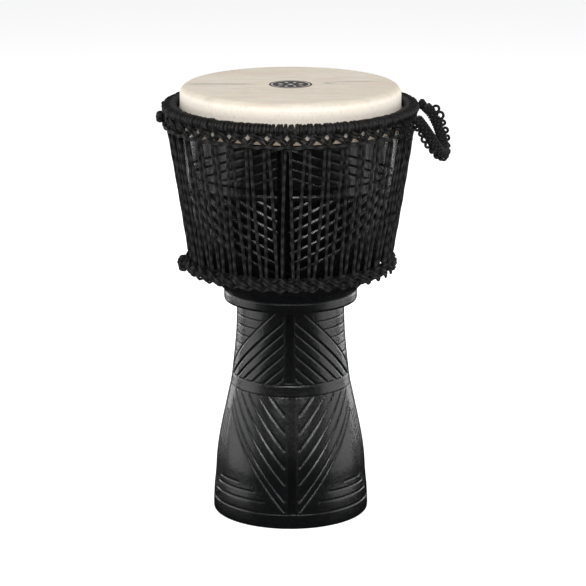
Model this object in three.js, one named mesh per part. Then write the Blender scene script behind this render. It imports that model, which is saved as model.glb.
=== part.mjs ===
import * as THREE from 'three';

// Rope-tuned goblet hand drum. Millimetres, +Z up, front towards -Y.
// The origin is the centre of the foot, on the floor. The carrying loop hangs on the +X side.

// Driving dimensions
const HEIGHT = 610;
const REPEATS = 40;
const FACETS = 40;
const GAP = 0.3;
const DEGREE = Math.PI / 180;
const PATTERN_TURN = -1.4 * DEGREE;
const REPEAT_ANGLE = 2 * Math.PI / REPEATS;

// Skin: playing surface, rounded edge, and the lap folded round the flesh hoop
const SKIN_THICKNESS = 1.2;
const PLAYING_RADIUS = 141;
const EDGE_RADIUS = 12;
const SKIN_WALL_RADIUS = PLAYING_RADIUS + EDGE_RADIUS;

// Hoops: rectangular steel bars, each given by its centre radius, centre height, width and height
const FLESH_HOOP = { radius: 161.4, z: 565, wide: 6, tall: 13 };
const CROWN_HOOP = { radius: 167.3, z: 579.5, wide: 12, tall: 5 };
const BOTTOM_HOOP = { radius: 134, z: 358, wide: 5, tall: 8 };

// Rope sleeves wound on the hoops: half width and half height of the outside
const CROWN_SLEEVE = { wide: 11.3, tall: 6.5 };
const BOTTOM_SLEEVE = { wide: 5.6, tall: 9 };
const SLEEVE_SLIT = 1;

// Ropes
const ROPE = 4.6;
const ROPE_SIDES = 6;
const CRADLE_INNER_RADIUS = 169.2;
const CRADLE_OUTER_RADIUS = 174.3;
const CRADLE_TOP = 570.4;
const CRADLE_BOTTOM = 559.4;
const HEM_RADIUS = 172.2;
const HEM_Z = 554.2;
const HEM_WAVE = 0.3;
const LACING_TOP = { radius: 169.4, z: 549 };
const LACING_BOTTOM = { radius: 140.2, z: 372 };
const LACING_PAIR = 6.6;
const WEAVE_ROPE = 3.4;
const WEAVE_OUTER_RADIUS = 145.9;
const WEAVE_INNER_RADIUS = 142;
const WEAVE_TOP = 366.3;
const WEAVE_BOTTOM = 354;
const ROPE_END_GAP = 0.06;

// Oval collar of cord round one pair of lacing runs: half widths and half heights of its two ovals
const TIE = { repeat: 7, z: 437, wide: 12.8, tall: 5.4, holeWide: 10.5, holeTall: 3.3, long: 9 };

// Knots: radial, sideways and upright half sizes, and where each sits round the drum
const CROWN_KNOT = { half: [4.6, 9, 7.2], radius: 181.6, angle: -90, z: 564.5 };
const TAIL_KNOB = { half: [5, 8.5, 10.5], radius: 153, angle: -88, z: 357.5 };
const REAR_HITCH = { half: [5.2, 5.6, 6], radius: 184.4, angle: 97.2, z: 579 };
const FRONT_HITCH = { size: 5.8, radius: 185.6, angle: 59.5, z: 560 };
// Outline of a knotted tail, as [radius, height] in shares of its size, from the bottom up
const TAIL_OUTLINE = [
  [0, -2.6], [0.8, -2.2], [1, -1.6], [0.75, -0.9], [1.05, 0], [0.75, 0.9], [1, 1.6], [0.8, 2.2], [0, 2.6],
];

// Carrying loop of knotted cord: the hinge line runs through its two ends
const LOOP_DIAMETER = 15;
const LOOP_SIDES = 8;
const LOOP_ROUTE = [
  [186.7, 4.9, 578], [192.5, 5, 572.5], [199, 3.5, 562.5], [204.5, 0.5, 551.5],
  [208, -4, 540.5], [210, -11, 531.5], [210.5, -22, 525], [209, -36, 522],
  [205.5, -50, 524.5], [201, -61, 530.5], [196, -67.5, 539], [190.5, -71.5, 549],
  [184, -74.5, 559.5], [177, -76.5, 569.5], [170.7, -76, 577],
];

const blackWood = new THREE.MeshStandardMaterial({ color: 0x17181a, roughness: 0.32, metalness: 0 });
const goatSkin = new THREE.MeshStandardMaterial({ color: 0xe2d9c8, roughness: 0.6, metalness: 0 });
const steel = new THREE.MeshStandardMaterial({ color: 0x6f7276, roughness: 0.35, metalness: 1 });
const blackRope = new THREE.MeshStandardMaterial({ color: 0x1b1c1e, roughness: 0.85, metalness: 0 });

const drum = new THREE.Group();

function add(name, geometry, material) {
  const mesh = new THREE.Mesh(geometry, material);
  mesh.name = name;
  drum.add(mesh);
  return mesh;
}

// A point on the drum: angle is measured from the front, positive towards +X.
function aroundDrum(radius, angle, z) {
  return new THREE.Vector3(radius * Math.sin(angle), -radius * Math.cos(angle), z);
}

// A solid of revolution about Z from an outline of [radius, z] points.
function turned(outline) {
  const points = outline.map(([radius, z]) => new THREE.Vector2(radius, z));
  const geometry = new THREE.LatheGeometry(points, FACETS);
  geometry.rotateX(Math.PI / 2);
  return geometry;
}

// A route given by its corner points. The section's first axis always faces away from the drum's axis.
class RopeRoute extends THREE.Curve {
  constructor(corners) {
    super();
    this.corners = corners;
  }

  getPoint(t, target = new THREE.Vector3()) {
    const place = t * (this.corners.length - 1);
    const index = Math.min(Math.floor(place + 1e-6), this.corners.length - 2);
    return target.lerpVectors(this.corners[index], this.corners[index + 1], place - index);
  }

  getPointAt(u, target) {
    return this.getPoint(u, target);
  }

  computeFrenetFrames(segments) {
    const frames = { tangents: [], normals: [], binormals: [] };
    for (let i = 0; i <= segments; i++) {
      const before = this.corners[Math.max(i - 1, 0)];
      const after = this.corners[Math.min(i + 1, segments)];
      const tangent = new THREE.Vector3().subVectors(after, before).normalize();
      const outward = new THREE.Vector3(this.corners[i].x, this.corners[i].y, 0).normalize();
      const normal = outward.addScaledVector(tangent, -outward.dot(tangent)).normalize();
      frames.tangents.push(tangent);
      frames.normals.push(normal);
      frames.binormals.push(new THREE.Vector3().crossVectors(tangent, normal));
    }
    return frames;
  }
}

function roundSection(diameter, sides) {
  const corners = [];
  for (let i = 0; i < sides; i++) {
    const angle = (i + 0.5) / sides * 2 * Math.PI;
    corners.push(new THREE.Vector2(diameter / 2 * Math.cos(angle), diameter / 2 * Math.sin(angle)));
  }
  return new THREE.Shape(corners);
}

function rope(corners, diameter = ROPE, sides = ROPE_SIDES) {
  const settings = { steps: corners.length - 1, extrudePath: new RopeRoute(corners) };
  return new THREE.ExtrudeGeometry(roundSection(diameter, sides), settings);
}

// Carved goblet shell: foot, waist, collar and bowl outside, then the rim and the bore inside.
function shell() {
  const outside = [
    [107.5, 0], [109.7, 4], [108.8, 30], [106.5, 54], [105, 78], [102, 102], [97.5, 126],
    [92.4, 150], [87.3, 174], [83, 197], [77, 256], [75.3, 303],
    [91.5, 306.5], [93.5, 309.5], [93.5, 319], [92.5, 320.5],
    [97.5, 327], [108, 338], [118.5, 352], [127, 368], [135.6, 395], [142, 440],
    [146.8, 500], [150.4, 550], [151.4, 575],
  ];
  const rim = [];
  const rimRadius = EDGE_RADIUS - SKIN_THICKNESS - GAP;
  const rimZ = HEIGHT - EDGE_RADIUS;
  for (let i = 0; i <= 3; i++) {
    const turn = i * 30 * DEGREE;
    rim.push([PLAYING_RADIUS + rimRadius * Math.cos(turn), rimZ + rimRadius * Math.sin(turn)]);
  }
  const inside = [
    [133, 600], [136, 570], [134, 490], [125, 420], [100, 360], [74, 330],
    [62, 305], [64, 240], [76, 150], [94, 50], [97, 0],
  ];
  return turned([...outside, ...rim, ...inside, outside[0]]);
}

// A thin sheet of revolution that starts on the axis, given by its middle line.
function turnedSheet(line, thickness) {
  const side = (sign) => line.map(([radius, z], i) => {
    const [r0, z0] = line[Math.max(i - 1, 0)];
    const [r1, z1] = line[Math.min(i + 1, line.length - 1)];
    const [dr, dz] = i === 0 ? [1, 0] : [r1 - r0, z1 - z0];
    const long = Math.hypot(dr, dz);
    const corner = i === 0 || i === line.length - 1 ? 1 : cornerStretch(line, i);
    const reach = sign * thickness / 2 * corner / long;
    return [radius + dz * reach, z - dr * reach];
  });
  return turned([...side(1), ...side(-1).reverse()]);
}

// How much further a mitred corner lies from the middle line than a straight edge does.
function cornerStretch(line, i) {
  const before = new THREE.Vector2(line[i][0] - line[i - 1][0], line[i][1] - line[i - 1][1]).normalize();
  const after = new THREE.Vector2(line[i + 1][0] - line[i][0], line[i + 1][1] - line[i][1]).normalize();
  const turn = Math.acos(THREE.MathUtils.clamp(before.dot(after), -1, 1));
  return 1 / Math.cos(turn / 2);
}

// Goat skin: flat head, rounded edge, wall, and a lap that wraps the flesh hoop.
function drumSkin() {
  const half = SKIN_THICKNESS / 2;
  const line = [[0, HEIGHT - half]];
  const bend = EDGE_RADIUS - half;
  for (let i = 3; i >= 0; i--) {
    const turn = i * 30 * DEGREE;
    line.push([PLAYING_RADIUS + bend * Math.cos(turn), HEIGHT - EDGE_RADIUS + bend * Math.sin(turn)]);
  }
  const clear = GAP + half;
  const inner = FLESH_HOOP.radius - FLESH_HOOP.wide / 2 - clear;
  const outer = FLESH_HOOP.radius + FLESH_HOOP.wide / 2 + clear;
  const low = FLESH_HOOP.z - FLESH_HOOP.tall / 2 - clear;
  const high = FLESH_HOOP.z + FLESH_HOOP.tall / 2 + clear;
  line.push([SKIN_WALL_RADIUS - half, 577], [inner, 568], [inner, low]);
  line.push([outer, low], [outer, high], [FLESH_HOOP.radius - 1, high]);
  return turnedSheet(line, SKIN_THICKNESS);
}

function hoop({ radius, z, wide, tall }) {
  const [x, y] = [wide / 2, tall / 2];
  const outline = [[radius - x, z - y], [radius + x, z - y], [radius + x, z + y], [radius - x, z + y]];
  return turned([...outline, outline[0]]);
}

// Rope sleeve wound on a hoop: an oval ring with the hoop's channel in it and a slit on its inner side.
function sleeve(bar, size) {
  const outline = [];
  const steps = 10;
  const slit = Math.asin(SLEEVE_SLIT / 2 / size.tall);
  for (let i = 0; i <= steps; i++) {
    const turn = Math.PI + slit + i / steps * 2 * (Math.PI - slit);
    outline.push([bar.radius + size.wide * Math.cos(turn), bar.z + size.tall * Math.sin(turn)]);
  }
  const x = bar.wide / 2 + GAP;
  const y = bar.tall / 2 + GAP;
  outline.push([bar.radius - x, bar.z + SLEEVE_SLIT / 2], [bar.radius - x, bar.z + y]);
  outline.push([bar.radius + x, bar.z + y], [bar.radius + x, bar.z - y]);
  outline.push([bar.radius - x, bar.z - y], [bar.radius - x, bar.z - SLEEVE_SLIT / 2]);
  return turned([...outline, outline[0]]);
}

// A rope that zigzags once round the drum, with its two ends a little apart at the back.
function zigzagRope(radius, top, bottom, shift, diameter = ROPE) {
  const corners = [];
  for (let i = 0; i <= REPEATS; i++) {
    const nudge = i === 0 ? ROPE_END_GAP : i === REPEATS ? -ROPE_END_GAP : 0;
    const angle = Math.PI + PATTERN_TURN + (i + shift + nudge) * REPEAT_ANGLE;
    corners.push(aroundDrum(radius, angle, i % 2 ? bottom : top));
  }
  return rope(corners, diameter);
}

// One lacing rope: up to a turn below each diamond, down to a turn halfway between, all round.
function lacingRope() {
  const corners = [];
  const turn = (end, angle) => {
    const spread = LACING_PAIR / 2 / end.radius;
    corners.push(aroundDrum(end.radius, angle - spread, end.z));
    corners.push(aroundDrum(end.radius, angle + spread, end.z));
  };
  for (let i = 0; i < REPEATS; i++) {
    const angle = Math.PI + PATTERN_TURN + (i + 0.5) * REPEAT_ANGLE;
    turn(LACING_BOTTOM, angle);
    turn(LACING_TOP, angle + REPEAT_ANGLE / 2);
  }
  return rope(corners);
}

// The collar of cord, its hole along its own Z, centred at the origin.
function lacingTie() {
  const ring = new THREE.Shape();
  ring.absellipse(0, 0, TIE.wide, TIE.tall, 0, 2 * Math.PI);
  const hole = new THREE.Path();
  hole.absellipse(0, 0, TIE.holeWide, TIE.holeTall, 0, 2 * Math.PI);
  ring.holes.push(hole);
  const settings = { depth: TIE.long, bevelEnabled: false, curveSegments: 8 };
  const geometry = new THREE.ExtrudeGeometry(ring, settings);
  geometry.translate(0, 0, -TIE.long / 2);
  return geometry;
}

// A rounded knot, set square to the drum at its place round it.
function knot({ half, radius, angle, z }) {
  const [radial, sideways, upright] = half;
  const geometry = new THREE.SphereGeometry(1, 12, 8);
  geometry.rotateX(Math.PI / 2);
  geometry.scale(sideways, radial, upright);
  geometry.rotateZ(angle * DEGREE);
  const place = aroundDrum(radius, angle * DEGREE, z);
  geometry.translate(place.x, place.y, place.z);
  return geometry;
}

// A knotted tail: an upright row of three swellings.
function knottedTail({ size, radius, angle, z }) {
  const points = TAIL_OUTLINE.map(([r, y]) => new THREE.Vector2(r * size, y * size));
  const geometry = new THREE.LatheGeometry(points, 10);
  geometry.rotateX(Math.PI / 2);
  const place = aroundDrum(radius, angle * DEGREE, z);
  geometry.translate(place.x, place.y, place.z);
  return geometry;
}

function carryingLoop() {
  const corners = LOOP_ROUTE.map((point) => new THREE.Vector3(...point));
  return rope(corners, LOOP_DIAMETER, LOOP_SIDES);
}

add('shell', shell(), blackWood);
add('drum_skin', drumSkin(), goatSkin);
add('flesh_hoop', hoop(FLESH_HOOP), steel);
add('crown_hoop', hoop(CROWN_HOOP), steel);
add('crown_sleeve', sleeve(CROWN_HOOP, CROWN_SLEEVE), blackRope);
add('cradle_rope_inner', zigzagRope(CRADLE_INNER_RADIUS, CRADLE_TOP, CRADLE_BOTTOM, 0), blackRope);
add('cradle_rope_outer', zigzagRope(CRADLE_OUTER_RADIUS, CRADLE_TOP, CRADLE_BOTTOM, 1), blackRope);
add('hem_rope', zigzagRope(HEM_RADIUS, HEM_Z + HEM_WAVE, HEM_Z - HEM_WAVE, 0), blackRope);
add('lacing_rope', lacingRope(), blackRope);
add('weave_rope_inner', zigzagRope(WEAVE_INNER_RADIUS, WEAVE_TOP, WEAVE_BOTTOM, 0, WEAVE_ROPE), blackRope);
add('weave_rope_outer', zigzagRope(WEAVE_OUTER_RADIUS, WEAVE_TOP, WEAVE_BOTTOM, 1, WEAVE_ROPE), blackRope);
add('bottom_hoop', hoop(BOTTOM_HOOP), steel);
add('bottom_sleeve', sleeve(BOTTOM_HOOP, BOTTOM_SLEEVE), blackRope);

// The tied pair starts at one bottom turn, and its two runs part on the way up.
const tieAngle = PATTERN_TURN + (TIE.repeat + 0.5) * REPEAT_ANGLE;
const lacingRise = LACING_TOP.z - LACING_BOTTOM.z;
const lacingLean = LACING_TOP.radius - LACING_BOTTOM.radius;
const tieRadius = LACING_BOTTOM.radius + lacingLean * (TIE.z - LACING_BOTTOM.z) / lacingRise;
const tie = add('lacing_tie', lacingTie(), blackRope);
tie.position.copy(aroundDrum(tieRadius, tieAngle, TIE.z));
tie.rotation.set(Math.atan(lacingLean / lacingRise), 0, tieAngle, 'ZYX');

add('crown_knot', knot(CROWN_KNOT), blackRope);
add('tail_knob', knot(TAIL_KNOB), blackRope);
add('loop_hitch_rear', knot(REAR_HITCH), blackRope);
add('loop_hitch_front', knottedTail(FRONT_HITCH), blackRope);
add('carrying_loop', carryingLoop(), blackRope);

export default drum;
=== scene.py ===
"""Looks of a rope-tuned goblet hand drum: carved black shell, goat skin head, wound hoops and lacing."""

import math

import bpy
import numpy as np
from bpy.props import FloatProperty, FloatVectorProperty, PointerProperty
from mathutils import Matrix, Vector


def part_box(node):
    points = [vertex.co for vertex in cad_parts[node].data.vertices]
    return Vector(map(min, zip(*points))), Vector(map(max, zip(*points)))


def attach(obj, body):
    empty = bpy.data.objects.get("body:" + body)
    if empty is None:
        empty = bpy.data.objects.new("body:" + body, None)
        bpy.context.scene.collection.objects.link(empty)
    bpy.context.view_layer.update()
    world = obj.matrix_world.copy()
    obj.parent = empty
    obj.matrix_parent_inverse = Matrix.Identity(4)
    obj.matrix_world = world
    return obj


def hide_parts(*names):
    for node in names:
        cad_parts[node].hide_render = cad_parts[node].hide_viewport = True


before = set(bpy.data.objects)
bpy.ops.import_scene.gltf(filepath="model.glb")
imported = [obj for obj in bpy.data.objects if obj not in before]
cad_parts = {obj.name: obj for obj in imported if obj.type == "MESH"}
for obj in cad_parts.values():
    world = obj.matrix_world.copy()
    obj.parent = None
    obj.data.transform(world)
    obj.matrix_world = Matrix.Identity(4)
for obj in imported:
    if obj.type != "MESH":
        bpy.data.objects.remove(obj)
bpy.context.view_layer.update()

bl_info = {
    "name": "Goblet Drum Looks",
    "version": (1, 0, 0),
    "blender": (4, 5, 0),
    "location": "3D View > Sidebar > Drum",
    "description": "Builds the carved shell, skin, ropes and carrying loop round the drum's CAD frame",
    "category": "Object",
}

FULL_TURN = 2 * math.pi

# From the frame
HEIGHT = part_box("drum_skin")[1].z
CROWN_LOW, CROWN_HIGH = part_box("crown_sleeve")
BOTTOM_LOW, BOTTOM_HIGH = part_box("bottom_sleeve")
CROWN_HOOP_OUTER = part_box("crown_hoop")[1].y
BOTTOM_HOOP_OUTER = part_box("bottom_hoop")[1].y
LAP_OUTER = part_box("drum_skin")[1].y
LAP_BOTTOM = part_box("drum_skin")[0].z
TIE_LOW, TIE_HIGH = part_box("lacing_tie")

# Round the drum
REPEATS = 40
REPEAT_ANGLE = FULL_TURN / REPEATS
PATTERN_TURN = math.radians(-1.4)

# Skin
PLAYING_RADIUS = 0.141
EDGE_RADIUS = HEIGHT - 0.598
SKIN_THICKNESS = 0.0012
FLESH_HOOP_RADIUS = 0.1614
MARK_RADIUS = 0.030
MARK_LOZENGES = 8

# Lines and stains on the skin, and where its painted highlight and painted shade begin
SPINE_Y = 0.002
SPINE_ENDS = (-0.152, -0.036)
CREASE_Y = 0.022
CREASE_ENDS = (0.050, 0.135)
LINE_HALF = 0.0060
BLOT_MIDDLE = (0.059, 0.008)
BLOT_HALF = (0.020, 0.012)
HIGHLIGHT_EDGE_Z = 0.6065
SHADED_LAP_Z = 0.5635

# Hoops, by the middle of the bar
CROWN_HOOP_RADIUS = CROWN_HOOP_OUTER - 0.006
BOTTOM_HOOP_RADIUS = BOTTOM_HOOP_OUTER - 0.0025
CROWN_Z = (CROWN_LOW.z + CROWN_HIGH.z) / 2
BOTTOM_Z = (BOTTOM_LOW.z + BOTTOM_HIGH.z) / 2

# Lacing, by the middle of the rope, as (radius, height), and how far apart a pair's runs are
LACING_TOP = (0.1694, 0.5500)
LACING_LOW = (0.1399, 0.3640)
LACING_PAIR = 0.0064

# Ropes with three strands: how deep the grooves are, as a share of the half size, and the length of one twist
LOBE_DEPTH = 0.36
LACING_TWIST = 0.034
BAND_TWIST = 0.017
WRAP_TWIST = 0.016

# Wound hoops and the bands beside them: turns within one repeat, middle of a band, and the hem
CROWN_TURNS = (0.09, 0.28, 0.50, 0.69, 0.91)
BOTTOM_TURNS = (0.12, 0.37, 0.63, 0.88)
CRADLE_MIDDLE = (0.1712, 0.5678)
WEAVE_MIDDLE = (0.1440, 0.3598)
HEM_MIDDLE = (0.1757, 0.5562)
HEM_HALF_SIZES = (0.0022, 0.0027)

# Carrying loop, the same route as the frame's own loop
LOOP_DIAMETER = 0.015
CORE_SHARE = 0.73
HITCH_ROPE = 0.0016
EYE_SIZES = (
    0.0047, 0.0048, 0.0030, 0.0033, 0.0029, 0.0026, 0.0031, 0.0027,
    0.0030, 0.0027, 0.0033, 0.0029, 0.0036, 0.0037, 0.0029, 0.0030,
)
LOOP_ROUTE = [
    (0.1867, 0.0049, 0.5780), (0.1925, 0.0050, 0.5725), (0.1990, 0.0035, 0.5625),
    (0.2045, 0.0005, 0.5515), (0.2080, -0.0040, 0.5405), (0.2100, -0.0110, 0.5315),
    (0.2105, -0.0220, 0.5250), (0.2090, -0.0360, 0.5220), (0.2055, -0.0500, 0.5245),
    (0.2010, -0.0610, 0.5305), (0.1960, -0.0675, 0.5390), (0.1905, -0.0715, 0.5490),
    (0.1840, -0.0745, 0.5595), (0.1770, -0.0765, 0.5695), (0.1707, -0.0760, 0.5770),
]

# Shell outline outside, as (radius, height), from the foot up
PEDESTAL = [
    (0.1075, 0.0), (0.1097, 0.004), (0.1088, 0.030), (0.1065, 0.054), (0.1050, 0.078), (0.1020, 0.102),
    (0.0975, 0.126), (0.0924, 0.150), (0.0873, 0.174), (0.0830, 0.197), (0.0770, 0.256), (0.0753, 0.303),
]
COLLAR = [
    (0.0753, 0.303), (0.0800, 0.3040), (0.0912, 0.3063), (0.0927, 0.3074), (0.0935, 0.3095),
    (0.0935, 0.3185), (0.0932, 0.3198), (0.0925, 0.3205),
]
BOWL = [
    (0.0925, 0.3205), (0.0975, 0.327), (0.1080, 0.338), (0.1185, 0.352), (0.1270, 0.368), (0.1356, 0.395),
    (0.1420, 0.440), (0.1468, 0.500), (0.1504, 0.550), (0.1514, 0.575),
]
INSIDE = [
    (0.133, 0.600), (0.136, 0.570), (0.134, 0.490), (0.125, 0.420), (0.100, 0.360), (0.074, 0.330),
    (0.062, 0.305), (0.064, 0.240), (0.076, 0.150), (0.094, 0.050), (0.097, 0.0),
]
SHELL_COLUMNS = 528
SKIN_COLUMNS = 240
MARK_COLUMNS = 192

# Carving below the collar: heights are where a line meets the middle strip
CUT_WIDTH = 0.0046
UPPER_ZONE = (0.2015, 0.3015)
UPPER_STRIP = 0.0095
UPPER_SLOPE = 0.88
UPPER_CUTS = (0.2890, 0.2739, 0.2583, 0.2425, 0.2260, 0.2110)
CORNER_SLOPE = 0.93
CORNER_LINES = (0.288, 0.275, 0.2615, 0.248, 0.235)

# Carving on the flare of the foot; a squared line is (angle, height, how far in it reaches)
LOWER_ZONE = (0.022, 0.184)
LOWER_STRIP = 0.0096
LOWER_CUTS = (0.1580, 0.1340, 0.1105, 0.0870, 0.0635, 0.0390, 0.0243)
CHEVRON_REACH = math.radians(66)
SQUARED_LINES = ((67.5, 0.059, 0.082), (71, 0.0496, 0.055), (75, 0.0375, 0.039))
RING_LINES = (0.0215, 0.1845, 0.2005)

# Carving on the bowl
BOWL_STRIP = 0.009
BOWL_RAYS = (0.562, 0.5495, 0.537, 0.524, 0.5115)
RAY_LOW = 0.497
GROOVE = (0.4815, 0.4925)
STEP_ZONE = (0.345, 0.4770)
STEP_RISE = 0.0152
STEP_EDGE = 0.24
PLAIN_SIDE = 0.30

# Camera, as its place, its tilt down and its lens in millimetres
CAMERA_PLACE = (0.0034, -3.803, 1.292)
CAMERA_TILT = math.radians(14.44)
CAMERA_LENS = 171.58
FLOOR_HALF = 7.0
ROOM_LIGHT = 0.01

# Softboxes: (name, place, target, watts, width, height)
SOFTBOXES = (
    ("softbox_left", (-2.1, -0.1, 0.55), (0, 0, 0.30), 19, 2.0, 1.9),
    ("softbox_right", (2.1, -0.1, 0.55), (0, 0, 0.30), 19, 2.0, 1.9),
    ("rim_left", (-1.6, 1.7, 0.5), (0, 0, 0.30), 14, 1.0, 1.6),
    ("rim_right", (1.6, 1.7, 0.5), (0, 0, 0.30), 14, 1.0, 1.6),
    ("fill_left", (-1.3, -3.0, 0.95), (0, 0, 0.30), 6, 0.9, 0.8),
    ("fill_right", (1.3, -3.0, 0.95), (0, 0, 0.30), 6, 0.9, 0.8),
    ("softbox_front", (0.0, -2.3, 3.2), (0, 0, 0.45), 40, 1.2, 0.4),
    ("softbox_low", (0.0, -3.0, 2.1), (0, 0, 0.5), 39, 1.6, 0.5),
    ("softbox_back", (0.0, 2.6, 3.0), (0, 0, 0.4), 20, 1.8, 0.7),
)


# ---------------------------------------------------------------- settings


def length(name, description, default, low, high):
    return FloatProperty(
        name=name, description=description, default=default, min=low, max=high, unit="LENGTH",
    )


def colour_of(name, description, default):
    return FloatVectorProperty(
        name=name, description=description, default=default, size=3, min=0, max=1, subtype="COLOR",
    )


class DrumSizes(bpy.types.PropertyGroup):
    """Sizes that can change without moving the frame."""

    lacing_rope: length("Lacing rope", "Diameter of the lacing rope", 0.0048, 0.003, 0.006)
    cradle_rope: length("Cradle rope", "Diameter of the crossing ropes at the crown", 0.0047, 0.003, 0.005)
    weave_rope: length("Weave rope", "Diameter of the crossing ropes at the bottom", 0.0043, 0.003, 0.005)
    loop_cord: length("Loop cord", "Diameter of the cord wound round the carrying loop", 0.0034, 0.002, 0.004)
    cut_depth: length("Cut depth", "Depth of the carved lines in the shell", 0.0018, 0.0, 0.003)


class DrumColours(bpy.types.PropertyGroup):
    """Colours of the finishes."""

    wood: colour_of("Lacquer", "Colour of the black lacquered wood", (0.0034, 0.0037, 0.0041))
    skin: colour_of("Skin", "Colour of the goat skin", (0.790, 0.722, 0.624))
    rope: colour_of("Rope", "Colour of the black rope", (0.0058, 0.0056, 0.0056))
    steel: colour_of("Steel", "Colour of the hoops", (0.16, 0.165, 0.17))
    mark: colour_of("Mark", "Colour of the disc printed on the skin", (0.020, 0.020, 0.022))


# ---------------------------------------------------------------- shader maths


class Wire:
    """A node socket. Arithmetic on it adds the Math nodes that work it out."""

    def __init__(self, tree, socket):
        self.tree = tree
        self.socket = socket

    def _math(self, operation, first, second):
        return self.tree.add("ShaderNodeMath", {"operation": operation}, {0: first, 1: second})

    def __add__(self, other):
        return self._math("ADD", self, other)

    def __radd__(self, other):
        return self._math("ADD", other, self)

    def __sub__(self, other):
        return self._math("SUBTRACT", self, other)

    def __rsub__(self, other):
        return self._math("SUBTRACT", other, self)

    def __mul__(self, other):
        return self._math("MULTIPLY", self, other)

    def __rmul__(self, other):
        return self._math("MULTIPLY", other, self)

    def __truediv__(self, other):
        return self._math("DIVIDE", self, other)

    def __pow__(self, other):
        return self._math("POWER", self, other)

    def __abs__(self):
        return self._math("ABSOLUTE", self, 0.0)

    def sine(self):
        return self._math("SINE", self, 0.0)

    def capped(self):
        """The value held between 0 and 1."""
        return self._math("MAXIMUM", self._math("MINIMUM", self, 1.0), 0.0)

    def slope(self, start, run):
        """0 up to the start and 1 from that run past it; a run below 0 goes the other way."""
        return ((self - start) / run).capped()


class Finish:
    """One material's node tree. Every node in it comes from add()."""

    def __init__(self, name, **constants):
        self.material = bpy.data.materials.new(name)
        self.material.use_nodes = True
        self.nodes = self.material.node_tree.nodes
        self.links = self.material.node_tree.links
        self.shader = self.nodes["Principled BSDF"]
        for socket, value in constants.items():
            self.shader.inputs[socket.replace("_", " ")].default_value = value

    def add(self, kind, settings=None, inputs=None, output=0):
        node = self.nodes.new(kind)
        for name, value in (settings or {}).items():
            if name == "stops":
                self._stops(node.color_ramp, value)
            else:
                setattr(node, name, value)
        for name, value in (inputs or {}).items():
            if isinstance(value, Wire):
                self.links.new(value.socket, node.inputs[name])
            else:
                node.inputs[name].default_value = value
        return Wire(self, node.outputs[output])

    def _stops(self, ramp, stops):
        while len(ramp.elements) < len(stops):
            ramp.elements.new(1.0)
        for element, (place, grey) in zip(ramp.elements, stops):
            element.position = place
            element.color = (grey, grey, grey, 1.0)

    def place(self):
        """Where a point is, in the drum's own metres."""
        return self.add("ShaderNodeTexCoord", output=3)

    def lay(self):
        """Round and along a rope; one along is one circumference."""
        return self.add("ShaderNodeTexCoord", output=2)

    def parts(self, vector):
        split = self.add("ShaderNodeSeparateXYZ", inputs={0: vector}).socket.node
        return [Wire(self, output) for output in split.outputs]

    def stretched(self, vector, scale):
        return self.add("ShaderNodeVectorMath", {"operation": "MULTIPLY"}, {0: vector, 1: scale})

    def noise(self, vector, scale, detail=3.0, roughness=0.55):
        inputs = {"Vector": vector, "Scale": scale, "Detail": detail, "Roughness": roughness}
        return self.add("ShaderNodeTexNoise", inputs=inputs)

    def ramp(self, value, *stops):
        return self.add("ShaderNodeValToRGB", {"stops": stops}, {0: value})

    def blend(self, factor, first, second):
        inputs = {0: factor, 6: opaque(first), 7: opaque(second)}
        return self.add("ShaderNodeMix", {"data_type": "RGBA"}, inputs, output=2)

    def attribute(self, name):
        return self.add("ShaderNodeAttribute", {"attribute_name": name}, output=2)

    def bump(self, height, distance):
        return self.add("ShaderNodeBump", inputs={"Height": height, "Distance": distance, "Strength": 1.0})

    def use(self, **varying):
        """Link what changes over the surface to the shader, and give the material."""
        for name, value in varying.items():
            self.links.new(value.socket, self.shader.inputs[name.replace("_", " ")])
        return self.material


def opaque(colour):
    return colour if isinstance(colour, Wire) else (*colour, 1.0)


def shade(colour, amount):
    """The colour made lighter or darker by that factor."""
    return tuple(min(part * amount, 1.0) for part in colour)


def tint(colour, shares):
    """The colour with each of its parts made lighter or darker by its own factor."""
    return tuple(part * share for part, share in zip(colour, shares))


# ---------------------------------------------------------------- finishes


def lacquered_wood(colours):
    """Black lacquer over upright grain, with painted shade darkening the cuts and painted highlight along
    their edges, partly also wear.
    """
    finish = Finish("black_lacquered_wood", IOR=1.5, Coat_Weight=0.20, Coat_Roughness=0.12)
    base = tuple(colours.wood)
    place = finish.place()
    grain = finish.noise(finish.stretched(place, (520.0, 520.0, 60.0)), 1.0, 5.0, 0.65)
    haze = finish.noise(place, 26.0, 4.0)
    edge = finish.attribute("edge")
    cut = finish.attribute("cut")
    colour = finish.blend(grain, shade(base, 0.4), shade(base, 1.5))
    # Painted highlight along the edges of the cuts, partly also wear: the lacquer is made lighter there.
    colour = finish.blend((edge * 0.8).capped(), colour, shade(base, 2.5))
    # Painted shade: the cuts are darkened by their depth.
    colour = finish.blend(cut, colour, shade(base, 0.15))
    roughness = 0.14 + haze * 0.10 + grain * 0.09 - edge * 0.04
    pores = finish.ramp(grain, (0.40, 0.0), (0.62, 1.0))
    relief = finish.bump(pores * 0.6 + haze * 0.4, 0.00022)
    return finish.use(Base_Color=colour, Roughness=roughness, Normal=relief)


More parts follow.
